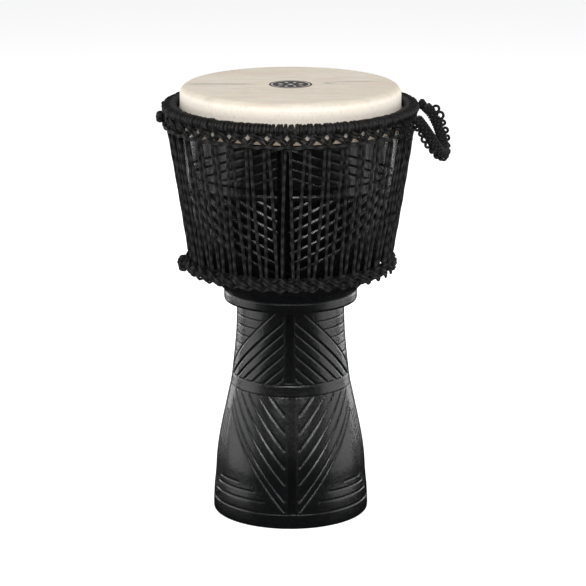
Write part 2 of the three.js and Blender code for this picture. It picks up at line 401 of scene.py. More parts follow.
def goat_skin(colours):
    """Cream skin with clouds, streaks and flecks, a spine line, a crease, a blot, a painted highlight down
    the rounded edge, and painted shade on the lap.
    """
    finish = Finish("goat_skin", IOR=1.45, Sheen_Weight=0.08)
    base = tuple(colours.skin)
    place = finish.place()
    x, y, z = finish.parts(place)
    cloud = finish.noise(place, 9.0, 5.0)
    streak = finish.noise(finish.stretched(place, (22.0, 70.0, 50.0)), 1.0, 7.0, 0.72)
    pores = finish.noise(place, 900.0, 2.0)
    warm = finish.ramp(cloud, (0.35, 0.0), (0.70, 1.0))
    colour = finish.blend(warm, shade(base, 1.03), tint(base, (0.93, 0.90, 0.83)))
    colour = finish.blend(finish.ramp(streak, (0.46, 0.0), (0.68, 0.70)), colour, shade(base, 0.72))
    flush = finish.noise(finish.stretched(place, (11.0, 26.0, 20.0)), 1.0, 6.0)
    flush = finish.ramp(flush, (0.50, 0.0), (0.72, 0.8))
    colour = finish.blend(flush, colour, tint(base, (0.88, 0.80, 0.76)))
    fleck = finish.ramp(finish.noise(place, 260.0, 4.0, 0.7), (0.52, 0.0), (0.70, 0.6))
    colour = finish.blend(fleck, colour, tint(base, (0.84, 0.80, 0.74)))
    wander = (cloud - 0.5) * 0.012
    spine = (1.4 - abs(y - SPINE_Y + wander) / LINE_HALF).capped() * (0.75 + fleck * 0.6)
    spine = spine * x.slope(SPINE_ENDS[0], 0.02) * x.slope(SPINE_ENDS[1], -0.03)
    colour = finish.blend(spine * 0.62, colour, (0.30, 0.25, 0.20))
    crease = (1.3 - abs(y - CREASE_Y - wander) / LINE_HALF).capped()
    crease = crease * x.slope(CREASE_ENDS[0], 0.03) * x.slope(CREASE_ENDS[1], -0.03)
    colour = finish.blend(crease * 0.50, colour, (0.33, 0.29, 0.25))
    across = ((x - BLOT_MIDDLE[0]) / BLOT_HALF[0]) ** 2.0
    down = ((y - BLOT_MIDDLE[1]) / BLOT_HALF[1]) ** 2.0
    patches = finish.ramp(finish.noise(place, 55.0, 4.0), (0.48, 0.0), (0.64, 1.0))
    colour = finish.blend((1.0 - across - down).capped() * patches * 0.80, colour, (0.28, 0.245, 0.21))
    # Painted highlight: the rounded edge and the wall below the top are made lighter.
    edge = z.slope(HIGHLIGHT_EDGE_Z, -0.004) * (0.85 - fleck * 0.9)
    colour = finish.blend(edge, colour, tint(base, (1.16, 1.17, 1.19)))
    # Painted shade: the lap below the hoop is darkened and browned.
    colour = finish.blend(z.slope(SHADED_LAP_Z, -0.004) * 0.8, colour, tint(base, (0.38, 0.30, 0.22)))
    roughness = 0.46 + cloud * 0.12 + streak * 0.08
    relief = finish.bump(pores * 0.35 + streak * 0.45 + cloud * 0.2, 0.0004)
    return finish.use(Base_Color=colour, Roughness=roughness, Normal=relief)


def printed_disc(name, colour):
    """Ink on the skin, rubbed thin in patches."""
    finish = Finish(name, IOR=1.45)
    wear = finish.noise(finish.place(), 160.0, 5.0)
    mask = finish.ramp(wear, (0.56, 0.0), (0.70, 1.0))
    shown = finish.blend(mask * 0.35, colour, shade(colour, 2.4))
    relief = finish.bump(wear, 0.0001)
    return finish.use(Base_Color=shown, Roughness=0.42 + wear * 0.2, Normal=relief)


def hoop_steel(colours):
    """Dull steel, brushed along the bar, with a few rust spots."""
    finish = Finish("brushed_steel", Metallic=1.0)
    base = tuple(colours.steel)
    place = finish.place()
    brush = finish.noise(finish.stretched(place, (30.0, 30.0, 900.0)), 1.0, 4.0)
    spots = finish.ramp(finish.noise(place, 120.0, 4.0), (0.55, 0.0), (0.75, 1.0))
    colour = finish.blend(brush, shade(base, 0.75), shade(base, 1.3))
    colour = finish.blend(spots * 0.5, colour, (0.08, 0.05, 0.035))
    relief = finish.bump(brush, 0.0001)
    return finish.use(Base_Color=colour, Roughness=0.28 + brush * 0.2 + spots * 0.2, Normal=relief)


def braided_rope(name, colour, strands=4.0, pitch=0.5):
    """Braid: two sets of strands cross round the rope and follow its own lay. Its colour holds painted
    highlight on the raised strands and along streaks, and painted shade in the gaps.
    """
    finish = Finish(name, IOR=1.45, Specular_IOR_Level=0.07)
    lay = finish.lay()
    round_rope, along, _ = finish.parts(lay)
    forward = (round_rope * strands + along * pitch) * FULL_TURN
    backward = (round_rope * strands - along * pitch) * FULL_TURN
    raised = 0.5 + forward.sine() * backward.sine() * 0.5
    place = finish.place()
    fibre = finish.noise(place, 1100.0, 2.0)
    dust = finish.noise(place, 60.0, 4.0)
    streak = finish.noise(finish.stretched(lay, (16.0, 1.6, 1.0)), 1.0)
    # Painted highlight and painted shade, with dust: raised strands and streaks along the rope are lighter,
    # the gaps between strands darker.
    painted_light_and_dust = (raised * 0.50 + streak * 0.85 + fibre * 0.35 + dust * 0.3 - 0.50).capped()
    shown = finish.blend(painted_light_and_dust ** 2.2, shade(colour, 0.04), shade(colour, 14.0))
    relief = finish.bump(raised + streak * 0.8 + fibre * 0.35, 0.0009)
    return finish.use(Base_Color=shown, Roughness=0.50 + dust * 0.2 - painted_light_and_dust * 0.12, Normal=relief)


def pale_floor():
    """Near white, faintly mottled, and lit enough by itself to meet the backdrop."""
    finish = Finish("pale_floor", Emission_Color=(1, 1, 1, 1), Emission_Strength=0.56)
    mottle = finish.noise(finish.place(), 3.0, 3.0)
    colour = finish.blend(mottle, (0.93, 0.93, 0.93), (0.95, 0.95, 0.95))
    return finish.use(Base_Color=colour, Roughness=0.85 + mottle * 0.1)


# ---------------------------------------------------------------- meshes


def round_drum(radius, angle, height):
    """Points on the drum: the angle is measured from the front, positive towards +X."""
    radius, angle, height = np.broadcast_arrays(radius, angle, height)
    return np.stack((radius * np.sin(angle), -radius * np.cos(angle), height), axis=-1)


def unit(vectors):
    return vectors / np.maximum(np.linalg.norm(vectors, axis=-1, keepdims=True), 1e-12)


def smooth_curve(points, steps):
    """A Catmull-Rom curve through the points, with that many steps from each point to the next."""
    points = np.asarray(points, float)
    padded = np.concatenate((2 * points[:1] - points[1:2], points, 2 * points[-1:] - points[-2:-1]))
    t = np.linspace(0, 1, steps, endpoint=False)[:, None]
    runs = []
    for a, b, c, d in zip(padded, padded[1:], padded[2:], padded[3:]):
        bend = 2 * a - 5 * b + 4 * c - d
        turn = 3 * b - a - 3 * c + d
        runs.append(b + 0.5 * t * ((c - a) + t * (bend + t * turn)))
    return np.concatenate(runs + [points[-1:]])


def evenly(points, spacing):
    """The same line with its points about that far apart."""
    points = np.asarray(points, float)
    gone = np.concatenate(([0.0], np.cumsum(np.linalg.norm(np.diff(points, axis=0), axis=1))))
    count = max(int(round(gone[-1] / spacing)), 2)
    wanted = np.linspace(0, gone[-1], count + 1)
    return np.stack([np.interp(wanted, gone, axis) for axis in points.T], axis=-1)


def carried_normals(path):
    """For each point of a line, a direction across it that turns as little as possible."""
    tangents = unit(np.gradient(path, axis=0))
    normal = np.cross(tangents[0], (0.31, 0.17, 0.93))
    normals = []
    for tangent in tangents:
        normal = normal - tangent * np.dot(normal, tangent)
        normal = normal / np.linalg.norm(normal)
        normals.append(normal)
    return np.array(normals)


def placed(name, data):
    """A new object in the scene."""
    thing = bpy.data.objects.new(name, data)
    bpy.context.scene.collection.objects.link(thing)
    return thing


class Surface:
    """Gathers vertices, faces and lay coordinates, then makes one mesh piece of them."""

    def __init__(self):
        self.vertices = []
        self.corners = []
        self.sizes = []
        self.lay = []
        self.count = 0

    def tubes(self, points, along, closed=False, dome=0.0):
        """A batch of tubes: points is (tubes, rows, sides, 3). Open ones get caps, pushed out by dome."""
        tubes, rows, sides = points.shape[:3]
        index = self.count + np.arange(tubes * rows * sides).reshape(tubes, rows, sides)
        along = np.broadcast_to(along, (tubes, rows))
        loops = index
        if closed:
            loops = np.concatenate((index, index[:, :1]), axis=1)
            along = np.concatenate((along, 2 * along[:, -1:] - along[:, -2:-1]), axis=1)
        after = np.roll(loops, -1, axis=2)
        quads = np.stack((loops[:, :-1], after[:, :-1], after[:, 1:], loops[:, 1:]), axis=-1)
        u = np.arange(sides) / sides
        u = np.stack((u, u + 1 / sides, u + 1 / sides, u), axis=-1)
        v = np.stack((along[:, :-1], along[:, :-1], along[:, 1:], along[:, 1:]), axis=-1)
        lay = np.stack(np.broadcast_arrays(u[None, None], v[:, :, None]), axis=-1)
        self.vertices.append(points.reshape(-1, 3))
        self.count += tubes * rows * sides
        self._faces(quads.reshape(-1, 4), lay.reshape(-1, 4, 2))
        if not closed:
            self._cap(points[:, 0], points[:, 1], index[:, 0, ::-1], along[:, 0], dome)
            self._cap(points[:, -1], points[:, -2], index[:, -1], along[:, -1], dome)

    def _cap(self, ring, neighbour, index, along, dome):
        tubes, sides = index.shape
        middle = ring.mean(axis=1)
        middle = middle + dome * unit(middle - neighbour.mean(axis=1))
        centre = self.count + np.arange(tubes)
        after = np.roll(index, -1, axis=1)
        fans = np.stack((index, after, np.broadcast_to(centre[:, None], index.shape)), axis=-1)
        u = np.arange(sides) / sides
        u = np.stack((u, u + 1 / sides, u + 0.5 / sides), axis=-1)
        lay = np.stack(np.broadcast_arrays(u[None], np.asarray(along)[:, None, None]), axis=-1)
        self.vertices.append(middle)
        self.count += tubes
        self._faces(fans.reshape(-1, 3), lay.reshape(-1, 3, 2))

    def _faces(self, faces, lay):
        self.corners.append(faces.reshape(-1))
        self.sizes.append(np.full(len(faces), faces.shape[1]))
        self.lay.append(lay.reshape(-1, 2))

    def ropes(self, paths, half_sizes, reference, sides=8, closed=False, lead=None):
        """Ropes along paths (ropes, points, 3), with an oval section set square to the reference.

        With a lead, three strands show, twisting once round in about that length.
        """
        paths = np.asarray(paths, float)
        if closed:
            before = np.roll(paths, 1, axis=1)
            after = np.roll(paths, -1, axis=1)
        else:
            before = np.concatenate((paths[:, :1], paths[:, :-1]), axis=1)
            after = np.concatenate((paths[:, 1:], paths[:, -1:]), axis=1)
        tangent = unit(after - before)
        normal = unit(reference - tangent * (reference * tangent).sum(axis=-1, keepdims=True))
        across = np.cross(tangent, normal)
        turn = np.arange(sides) / sides * FULL_TURN
        half_out = np.asarray(half_sizes[0])[..., None, None]
        half_side = np.asarray(half_sizes[1])[..., None, None]
        steps = np.linalg.norm(np.diff(paths, axis=1), axis=-1)
        gone = np.concatenate((np.zeros((len(paths), 1)), np.cumsum(steps, axis=1)), axis=1)
        lobes = np.ones((1, 1, 1, 1))
        if lead:
            total = gone[:, -1:] + (steps[:, -1:] if closed else 0)
            phase = FULL_TURN * max(round(float(total.mean()) / lead), 1) * gone / total
            lobes = 1 - LOBE_DEPTH * (1 - np.abs(np.cos(1.5 * turn + phase[..., None] / 2)))[..., None]
        rings = paths[:, :, None] + lobes * half_out * np.cos(turn)[:, None] * normal[:, :, None]
        rings = rings + lobes * half_side * np.sin(turn)[:, None] * across[:, :, None]
        girth = math.pi * float(np.mean(half_sizes[0]) + np.mean(half_sizes[1]))
        self.tubes(rings, gone / girth, closed, dome=float(np.mean(half_sizes[0])) * 0.5)

    def free_rope(self, path, radius, sides=10):
        """One round rope along any line, with rounded ends."""
        path = np.asarray(path, float)
        normals = carried_normals(path)[None]
        self.ropes(path[None], (radius, radius), normals, sides)

    def ring(self, path, centre, half_sizes, sides=8):
        """A closed rope round a centre, with its section set square to the way out from it."""
        self.ropes(path[None], half_sizes, unit(path - centre)[None], sides, closed=True)

    def ball(self, centre, axes, turns, crossings, steps, half_rope):
        """A knot's lump: rope wound over an egg shape."""
        path = wound_ball(centre, axes, turns, crossings, steps)
        self.ring(path, centre, (half_rope, half_rope))

    def piece(self, name, material, slot, *stands_for, body="drum"):
        """Make the mesh object, ride it on its body, and hide the nodes that it stands for."""
        mesh = bpy.data.meshes.new(name)
        vertices = np.concatenate(self.vertices).astype(np.float32)
        corners = np.concatenate(self.corners).astype(np.int32)
        sizes = np.concatenate(self.sizes)
        mesh.vertices.add(len(vertices))
        mesh.vertices.foreach_set("co", vertices.ravel())
        mesh.loops.add(len(corners))
        mesh.loops.foreach_set("vertex_index", corners)
        mesh.polygons.add(len(sizes))
        starts = np.concatenate(([0], np.cumsum(sizes)[:-1])).astype(np.int32)
        mesh.polygons.foreach_set("loop_start", starts)
        mesh.polygons.foreach_set("vertices", corners)
        lay = mesh.uv_layers.new(name="lay")
        lay.uv.foreach_set("vector", np.concatenate(self.lay).astype(np.float32).ravel())
        mesh.update(calc_edges=True)
        mesh.validate()
        mesh.materials.append(material)
        mesh.shade_smooth()
        piece = placed(name, mesh)
        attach(piece, body)
        if stands_for:
            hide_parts(*stands_for)
        return piece


def lathe(outline, columns):
    """A surface of revolution from (radius, height) points, as one tube for Surface.tubes."""
    outline = np.asarray(outline, float)
    angle = np.arange(columns) / columns * FULL_TURN
    return round_drum(outline[:, :1], angle[None], outline[:, 1:])[None]


# ---------------------------------------------------------------- carved shell


def line_cut(distance, width, depth):
    """How deep a cut is at a distance from its middle: a bevel below, a steeper wall above."""
    share = distance / width
    return depth * np.clip(np.minimum((share + 0.5) / 0.46, (0.5 - share) / 0.40), 0, 1)


def reeds(place, starts):
    """How far a surface swells between cuts: 1 midway between two, 0 at each and outside them."""
    starts = sorted(starts)
    between = np.interp(place, starts, np.arange(len(starts)), left=0, right=len(starts) - 1)
    part = between - np.floor(between)
    return 4 * part * (1 - part)


def inside(value, low, high, soft=0.001):
    """1 between two limits and 0 outside, over a short slope."""
    return np.clip((value - low) / soft, 0, 1) * np.clip((high - value) / soft, 0, 1)


def slanted(z, start, slope, d):
    """Distance square to a sloping line whose height is start + slope * d."""
    return (z - start - slope * d) / math.hypot(1, slope)


def upper_pedestal(s, z, depth):
    """Below the collar: a sunk strip between two uprights, and lines falling away from it."""
    d = np.abs(s + 0.0015)
    out = d - UPPER_STRIP
    field = out > 0
    carved = 0.5 * depth * inside(d, -1, 0.005) + line_cut(d - 0.0058, 0.0024, 0.9 * depth)
    carved = np.maximum(carved, line_cut(d - 0.0092, 0.0014, 0.35 * depth))
    for start in UPPER_CUTS:
        cut = line_cut(-slanted(z, start, -UPPER_SLOPE, out), CUT_WIDTH, 1.1 * depth)
        carved = np.maximum(carved, cut * field * inside(z, -1, UPPER_ZONE[1]))
    carved = carved - 0.62 * depth * reeds(z + UPPER_SLOPE * out, UPPER_CUTS) * field
    rib_top = 0.312 - CORNER_SLOPE * out
    rib = inside(z, 0.2925 - UPPER_SLOPE * out, rib_top - 0.001) * field
    carved = carved - 0.30 * depth * rib
    for height in CORNER_LINES:
        corner = line_cut(height - z, 0.0022, 0.30 * depth) * (z > rib_top) * field
        carved = np.maximum(carved, corner)
    carved = np.maximum(carved, line_cut(rib_top - z, 0.0028, 0.7 * depth) * field)
    return carved * inside(z, *UPPER_ZONE)


def lower_pedestal(s, z, angle, depth):
    """On the flare: nested chevrons each side of a sunk strip, and squared lines at the sides."""
    d = np.abs(s - 0.0017)
    out = d - LOWER_STRIP
    aside = np.abs(angle)
    field = (out > 0) & (aside < CHEVRON_REACH)
    carved = 0.5 * depth * inside(d, -1, 0.0063) + line_cut(out, 0.0022, 0.8 * depth)
    rise = 1.2 * out + 2.0 * out * out
    steepness = np.hypot(1, 1.2 + 4.0 * out)
    for start in LOWER_CUTS:
        cut = line_cut((z - start - rise) / steepness, CUT_WIDTH, depth)
        carved = np.maximum(carved, cut * field)
    carved = carved - 0.25 * depth * reeds(z - rise, LOWER_CUTS) * field
    for degrees, height, reach in SQUARED_LINES:
        corner = math.radians(degrees)
        upright = line_cut((aside - corner) * 0.105, 0.0026, 0.55 * depth) * inside(z, height, 0.152)
        level = line_cut(z - height, 0.0030, 0.45 * depth) * (aside < corner) * (d > reach)
        carved = np.maximum(carved, np.maximum(upright, level))
    carved = carved * inside(z, *LOWER_ZONE)
    for height in RING_LINES:
        carved = np.maximum(carved, line_cut(z - height, 0.0026, 0.6 * depth))
    return carved


def bowl_carving(s, z, angle, depth):
    """Behind the lacing: a ridged upright band, shallow rays above and stepped chevrons below."""
    d = np.abs(s + 0.0093)
    out = d - BOWL_STRIP
    field = out > 0
    carved = 0.9 * depth * (inside(d, -1, 0.0088) - inside(s, -0.0115, -0.0066))
    for start in BOWL_RAYS:
        ray = line_cut(-slanted(z, start, -0.34, out), 0.0036, 0.75 * depth)
        carved = np.maximum(carved, ray * field * (z > RAY_LOW))
    rise = (z - 0.4615 - 0.46 * out) / STEP_RISE
    part = rise - np.floor(rise)
    tooth = np.where(part < STEP_EDGE, part / STEP_EDGE, (1 - part) / (1 - STEP_EDGE))
    steps = depth * 1.3 * tooth * field * inside(z, *STEP_ZONE) * (rise > -6.0)
    carved = np.maximum(carved, steps)
    carved = np.maximum(carved, 0.8 * depth * inside(z, *GROOVE) * field)
    return np.where(np.abs(np.abs(angle) - math.pi / 2) < PLAIN_SIDE, 0.0, carved)


def carving(radius, angle, z, depth):
    """How far the tool has cut into the shell at each point. The same motif faces front and back."""
    facing = (angle + math.pi / 2) % math.pi - math.pi / 2
    s = radius * facing
    upper = upper_pedestal(s, z, depth)
    pedestal = np.maximum(upper, lower_pedestal(s, z, facing, depth))
    pedestal = np.where(pedestal > 0, pedestal, np.minimum(upper, 0))
    bowl = np.where((z > 0.34) & (z < 0.57), bowl_carving(s, z, facing, depth), 0.0)
    return np.where(z < PEDESTAL[-1][1], pedestal, bowl)


def shell_outline():
    """Rows of the shell, up outside, over the rim and down the bore; and how many are outside."""
    foot = evenly(smooth_curve(PEDESTAL, 12), 0.00125)
    collar = evenly(COLLAR, 0.0005)
    bowl = evenly(smooth_curve(BOWL, 12), 0.0014)
    turn = np.linspace(0, math.pi / 2, 9)
    bend = EDGE_RADIUS - SKIN_THICKNESS - 0.0003
    across = PLAYING_RADIUS + bend * np.cos(turn)
    rim = np.stack((across, HEIGHT - EDGE_RADIUS + bend * np.sin(turn)), axis=-1)
    bore = evenly(smooth_curve(INSIDE, 6), 0.012)
    outer = np.concatenate((foot[:-1], collar[:-1], bowl))
    return np.concatenate((outer, rim, bore)), len(outer)


def build_shell(sizes, material):
    outline, outer = shell_outline()
    angle = np.arange(SHELL_COLUMNS) / SHELL_COLUMNS * FULL_TURN
    radius, height, turn = np.broadcast_arrays(outline[:, :1], outline[:, 1:], angle[None])
    cut = np.zeros(radius.shape)
    cut[:outer] = carving(radius[:outer], turn[:outer], height[:outer], sizes.cut_depth)
    rough = np.random.default_rng(11).normal(0, 1, radius.shape)
    rough = (rough + np.roll(rough, 1, 0) + np.roll(rough, 1, 1) + np.roll(rough, 1, (0, 1))) / 4
    rough[outer:] = 0
    points = round_drum(radius - cut + rough * 0.00004, turn, height)
    surface = Surface()
    surface.tubes(points[None], np.linspace(0, 1, len(outline)), closed=True)
    shell = surface.piece("carved_shell", material, "black_wood", "shell")
    around = (np.roll(cut, 1, 0) + np.roll(cut, -1, 0) + np.roll(cut, 1, 1) + np.roll(cut, -1, 1)) / 4
    # The edge share lightens the rims of the cuts as painted highlight, partly also wear; the cut share
    # darkens the cuts by depth as painted shade.
    shares = {"edge": (around - cut) / 0.0004, "cut": cut / sizes.cut_depth}
    for name, share in shares.items():
        mask = shell.data.attributes.new(name, "FLOAT", "POINT")
        mask.data.foreach_set("value", np.clip(share, 0, 1).astype(np.float32).ravel())


# ---------------------------------------------------------------- skin


def skin_outline():
    """Half the skin's section as a band: along one face, round the lap, and back along the other."""
    half = SKIN_THICKNESS / 2
    bend = EDGE_RADIUS - half
    middle = [(r, HEIGHT - half) for r in np.linspace(0.0008, PLAYING_RADIUS, 26)[:-1]]
    for turn in np.linspace(math.pi / 2, 0, 9):
        middle.append((PLAYING_RADIUS + bend * math.cos(turn), HEIGHT - EDGE_RADIUS + bend * math.sin(turn)))
    inner = FLESH_HOOP_RADIUS - (LAP_OUTER - FLESH_HOOP_RADIUS) + half
    outer = LAP_OUTER - half
    low = LAP_BOTTOM + half
    wall = [(PLAYING_RADIUS + bend, 0.588), (PLAYING_RADIUS + bend + 0.0002, 0.578), (inner, 0.569)]
    lap = [(inner, 0.562), (inner + 0.0004, low + 0.0010), (inner + 0.0016, low), (outer - 0.0016, low)]
    lap += [(outer - 0.0004, low + 0.0010), (outer, 0.562), (outer, 0.568), (outer - 0.0008, 0.5722)]
    lap += [(outer - 0.0030, 0.5728), (FLESH_HOOP_RADIUS - 0.001, 0.5726)]
    middle = np.array(middle + wall + lap)
    along = unit(np.gradient(middle, axis=0))
    square = np.stack((-along[:, 1], along[:, 0]), axis=-1)
    return np.concatenate((middle + half * square, (middle - half * square)[::-1]))


def build_skin(material):
    outline = skin_outline()
    points = lathe(outline, SKIN_COLUMNS)
    angle = np.arange(SKIN_COLUMNS) / SKIN_COLUMNS * FULL_TURN
    reach = np.linalg.norm(points[..., :2], axis=-1)
    drawn_in = np.clip((0.592 - points[..., 2]) / 0.02, 0, 1) * (reach > 0.15)
    pucker = np.sin((angle - PATTERN_TURN) * REPEATS) * 0.00022 * drawn_in
    points = points + round_drum(1.0, angle, 0.0) * pucker[..., None]
    surface = Surface()
    surface.tubes(points[:, ::-1], np.linspace(0, 1, len(outline)))
    return surface.piece("goat_skin_head", material, "goat_skin", "drum_skin")


def build_mark(dark, pale):
    """A thin printed disc at the middle of the head, with a plain ring and eight small lozenges."""
    rings = np.concatenate(([0.0010], np.linspace(0.002, MARK_RADIUS, 57)))
    outline = [(reach, HEIGHT - 0.0001) for reach in rings]
    outline += [(MARK_RADIUS + 0.00004, HEIGHT)]
    outline += [(reach, HEIGHT + 0.00012) for reach in rings[::-1]]
    surface = Surface()
    surface.tubes(lathe(outline, MARK_COLUMNS), np.linspace(0, 1, len(outline)))
    disc = surface.piece("head_mark", dark, "goat_skin")
    disc.data.materials.append(pale)
    for face in disc.data.polygons:
        x, y, z = face.center
        if z > HEIGHT and mark_is_pale(math.hypot(x, y) / MARK_RADIUS, math.atan2(x, -y)):
            face.material_index = 1
    return disc


def mark_is_pale(reach, angle):
    """Whether the disc's pale colour shows at a share of its radius and an angle."""
    sector = (angle / FULL_TURN * MARK_LOZENGES) % 1 - 0.5
    lozenge = abs(reach - 0.50) / 0.17 + abs(sector) / 0.20 < 1
    return 0.84 < reach < 0.90 or lozenge or reach < 0.12


# ---------------------------------------------------------------- ropes


def repeat_angles(share):
    """Where a place counted in repeats lies round the drum."""
    return PATTERN_TURN + share * REPEAT_ANGLE


def hoop_wraps(hoop, path_wide, path_tall, half_sizes, shares, seed):
    """Turns of rope wound close round a hoop, given as (radius, height), each leaning a little."""
    draw = np.random.default_rng(seed)
    count = REPEATS * len(shares)
    place = (np.arange(REPEATS)[:, None] + np.asarray(shares)[None]).ravel()
    place = place + draw.normal(0, 0.018, count)
    lean = draw.normal(0, 0.0004, count)[:, None]
    swell = draw.normal(0, 0.00040, count)[:, None]
    turn = np.linspace(0, FULL_TURN, 28, endpoint=False)
    corner = 0.62
    wide = np.sign(np.cos(turn)) * np.abs(np.cos(turn)) ** corner
    tall = np.sign(np.sin(turn)) * np.abs(np.sin(turn)) ** corner
    radius = hoop[0] + (path_wide + swell) * wide
    height = hoop[1] + (path_tall + swell) * tall
    paths = round_drum(radius, repeat_angles(place)[:, None] + lean / hoop[0] * tall, height)
    sideways = round_drum(1.0, repeat_angles(place) + math.pi / 2, 0.0)[:, None]
    outward = np.cross(unit(np.roll(paths, -1, 1) - np.roll(paths, 1, 1)), sideways)
    surface = Surface()
    surface.ropes(paths, half_sizes, outward, sides=12, closed=True, lead=WRAP_TWIST)
    return surface


def crossing_bands(middle, half_rope, lift, rise, fall, sharp, shift, steps=14):
    """Two bands of doubled rope that cross over and under each other once in every repeat.

    Each swings up by rise and down by fall from the middle, as (radius, height), and in and out by lift.
    """
    surface = Surface()
    place = np.arange(REPEATS * steps) / steps
    wave = np.cos(math.pi * place)
    angle = repeat_angles(place + shift)
    outward = round_drum(1.0, angle, 0.0)
    for sign in (1, -1):
        gone = np.arccos(np.clip(wave * sign, -1, 1)) / math.pi
        swing = np.sign(0.5 - gone) * np.abs(1 - 2 * gone) ** sharp
        swing = np.where(swing > 0, swing * rise, swing * fall)
        crest = np.abs(swing) / max(rise, fall)
        swing = swing - np.sign(swing) * 0.12 * fall * np.clip((crest - 0.72) / 0.28, 0, 1) ** 2
        over = middle[0] + sign * lift * np.sin(math.pi * place)
        centre = round_drum(over, angle, middle[1] + swing)
        along = unit(np.roll(centre, -1, 0) - np.roll(centre, 1, 0))
        square = unit(np.cross(outward, along)) * half_rope * 1.02
        for path in (centre - square, centre + square):
            surface.ropes(path[None], (half_rope, half_rope), outward[None], 12, True, BAND_TWIST)
    return surface


def build_crown(sizes, rope):
    """Wound crown hoop, the crossing ropes below it and the hem rope."""
    hoop = (CROWN_HOOP_RADIUS, CROWN_Z)
    wraps = hoop_wraps(hoop, 0.0085, 0.0042, (0.0026, 0.0025), CROWN_TURNS, seed=3)
    wraps.piece("crown_hoop_wraps", rope, "black_rope", "crown_sleeve")
    bands = crossing_bands(CRADLE_MIDDLE, sizes.cradle_rope / 2, 0.0021, 0.0108, 0.0112, 1.6, 0.0)
    bands.piece("cradle_ropes", rope, "black_rope", "cradle_rope_inner", "cradle_rope_outer")
    place = np.arange(REPEATS * 12) / 12
    angle = repeat_angles(place)
    path = round_drum(HEM_MIDDLE[0], angle, HEM_MIDDLE[1] + 0.0010 * np.cos(FULL_TURN * place))
    hem = Surface()
    hem.ropes(path[None], HEM_HALF_SIZES, round_drum(1.0, angle, 0.0)[None], 12, True, BAND_TWIST)
    hem.piece("hem_rope_round_crown", rope, "black_rope", "hem_rope")


def build_bottom(sizes, rope):
    """Wound bottom hoop and the chunky crossing ropes above it."""
    hoop = (BOTTOM_HOOP_RADIUS, BOTTOM_Z)
    wraps = hoop_wraps(hoop, 0.0041, 0.0074, (0.0014, 0.0027), BOTTOM_TURNS, seed=5)
    wraps.piece("bottom_hoop_wraps", rope, "black_rope", "bottom_sleeve")
    bands = crossing_bands(WEAVE_MIDDLE, sizes.weave_rope / 2, 0.0034, 0.0072, 0.0076, 1.3, 0.5)
    bands.piece("weave_ropes", rope, "black_rope", "weave_rope_inner", "weave_rope_outer")


def lacing_turn(radius, z, angle, way):
    """The bend at one end of a lacing pair: half a circle, upwards or downwards."""
    turn = np.linspace(0, math.pi, 7)
    sideways = -LACING_PAIR / 2 * np.cos(turn)
    return round_drum(radius, angle + sideways / radius, z + way * 0.0022 * np.sin(turn))


def build_lacing(sizes, rope):
    """One rope laced up and down all round, pulled straight, with small slacks of its own."""
    draw = np.random.default_rng(9)
    ends = []
    for i in range(REPEATS):
        for share, (radius, z), way in ((i, LACING_LOW, -1), (i + 0.5, LACING_TOP, 1)):
            angle = repeat_angles(share + 0.5) + draw.normal(0, 0.0055)
            ends.append(lacing_turn(radius, z, angle, way))
    share = np.linspace(0, 1, 56)[1:-1, None]
    bow = np.sin(math.pi * share)
    runs = []
    for turn, after in zip(ends, ends[1:] + ends[:1]):
        outward = unit(turn[-1] * (1, 1, 0))
        sideways = np.array((-outward[1], outward[0], 0))
        slack = draw.normal(0, 0.0006) * outward + draw.normal(0, 0.0011) * sideways
        runs += [turn, turn[-1] + (after[0] - turn[-1]) * share + bow * slack]
    path = np.concatenate(runs)
    half = sizes.lacing_rope / 2
    surface = Surface()
    surface.ropes(path[None], (half, half), unit(path * (1, 1, 0))[None], 12, True, LACING_TWIST)
    surface.piece("lacing_rope_all_round", rope, "black_rope", "lacing_rope")


def build_tie(rope):
    """Five turns of cord round one pair of lacing runs, with a short tail."""
    middle = np.array((TIE_LOW + TIE_HIGH) / 2)
    outward = unit(middle * (1, 1, 0))
    sideways = np.array((-outward[1], outward[0], 0))
    lean = math.atan((LACING_TOP[0] - LACING_LOW[0]) / (LACING_TOP[1] - LACING_LOW[1]))
    up = outward * math.sin(lean) + np.array((0, 0, 1)) * math.cos(lean)
    out = np.cross(sideways, up)
    turn = np.linspace(0, FULL_TURN * 5, 121)
    path = middle + np.outer(0.0116 * np.cos(turn), sideways) + np.outer(0.0042 * np.sin(turn), out)
    path = path + np.outer(np.linspace(-0.0038, 0.0038, 121), up)
    tail = smooth_curve([path[-1], path[-1] + 0.004 * out, path[-1] + 0.005 * out - 0.010 * up], 6)
    surface = Surface()
    surface.free_rope(np.concatenate((path, tail[1:])), 0.0010, sides=8)
    surface.piece("lacing_tie_cord", rope, "black_rope", "lacing_tie")


def wound_ball(centre, axes, turns, crossings, steps):
    """A closed winding over an egg shape: the line crosses itself as a round knot's strands do."""
    t = np.linspace(0, FULL_TURN, steps, endpoint=False)
    tilt = 1.25 * np.sin(crossings * t)
    weave = 1 + 0.16 * np.sin(2 * crossings * turns * t)
    flat = np.cos(tilt)
    local = np.stack((np.cos(turns * t) * flat, np.sin(turns * t) * flat, np.sin(tilt)), axis=-1)
    return centre + (local * weave[:, None]) @ axes


def drum_axes(centre, radial, sideways, upright):
    """Rows of half sizes outward, sideways and upright, at a place round the drum."""
    outward = unit(np.array(centre) * (1, 1, 0))
    across = np.array((-outward[1], outward[0], 0))
    return np.stack((outward * radial, across * sideways, (0, 0, upright)))


def node_middle(node):
    """The middle and half sizes of a node's box."""
    low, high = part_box(node)
    return np.array((low + high) / 2), np.array((high - low) / 2)


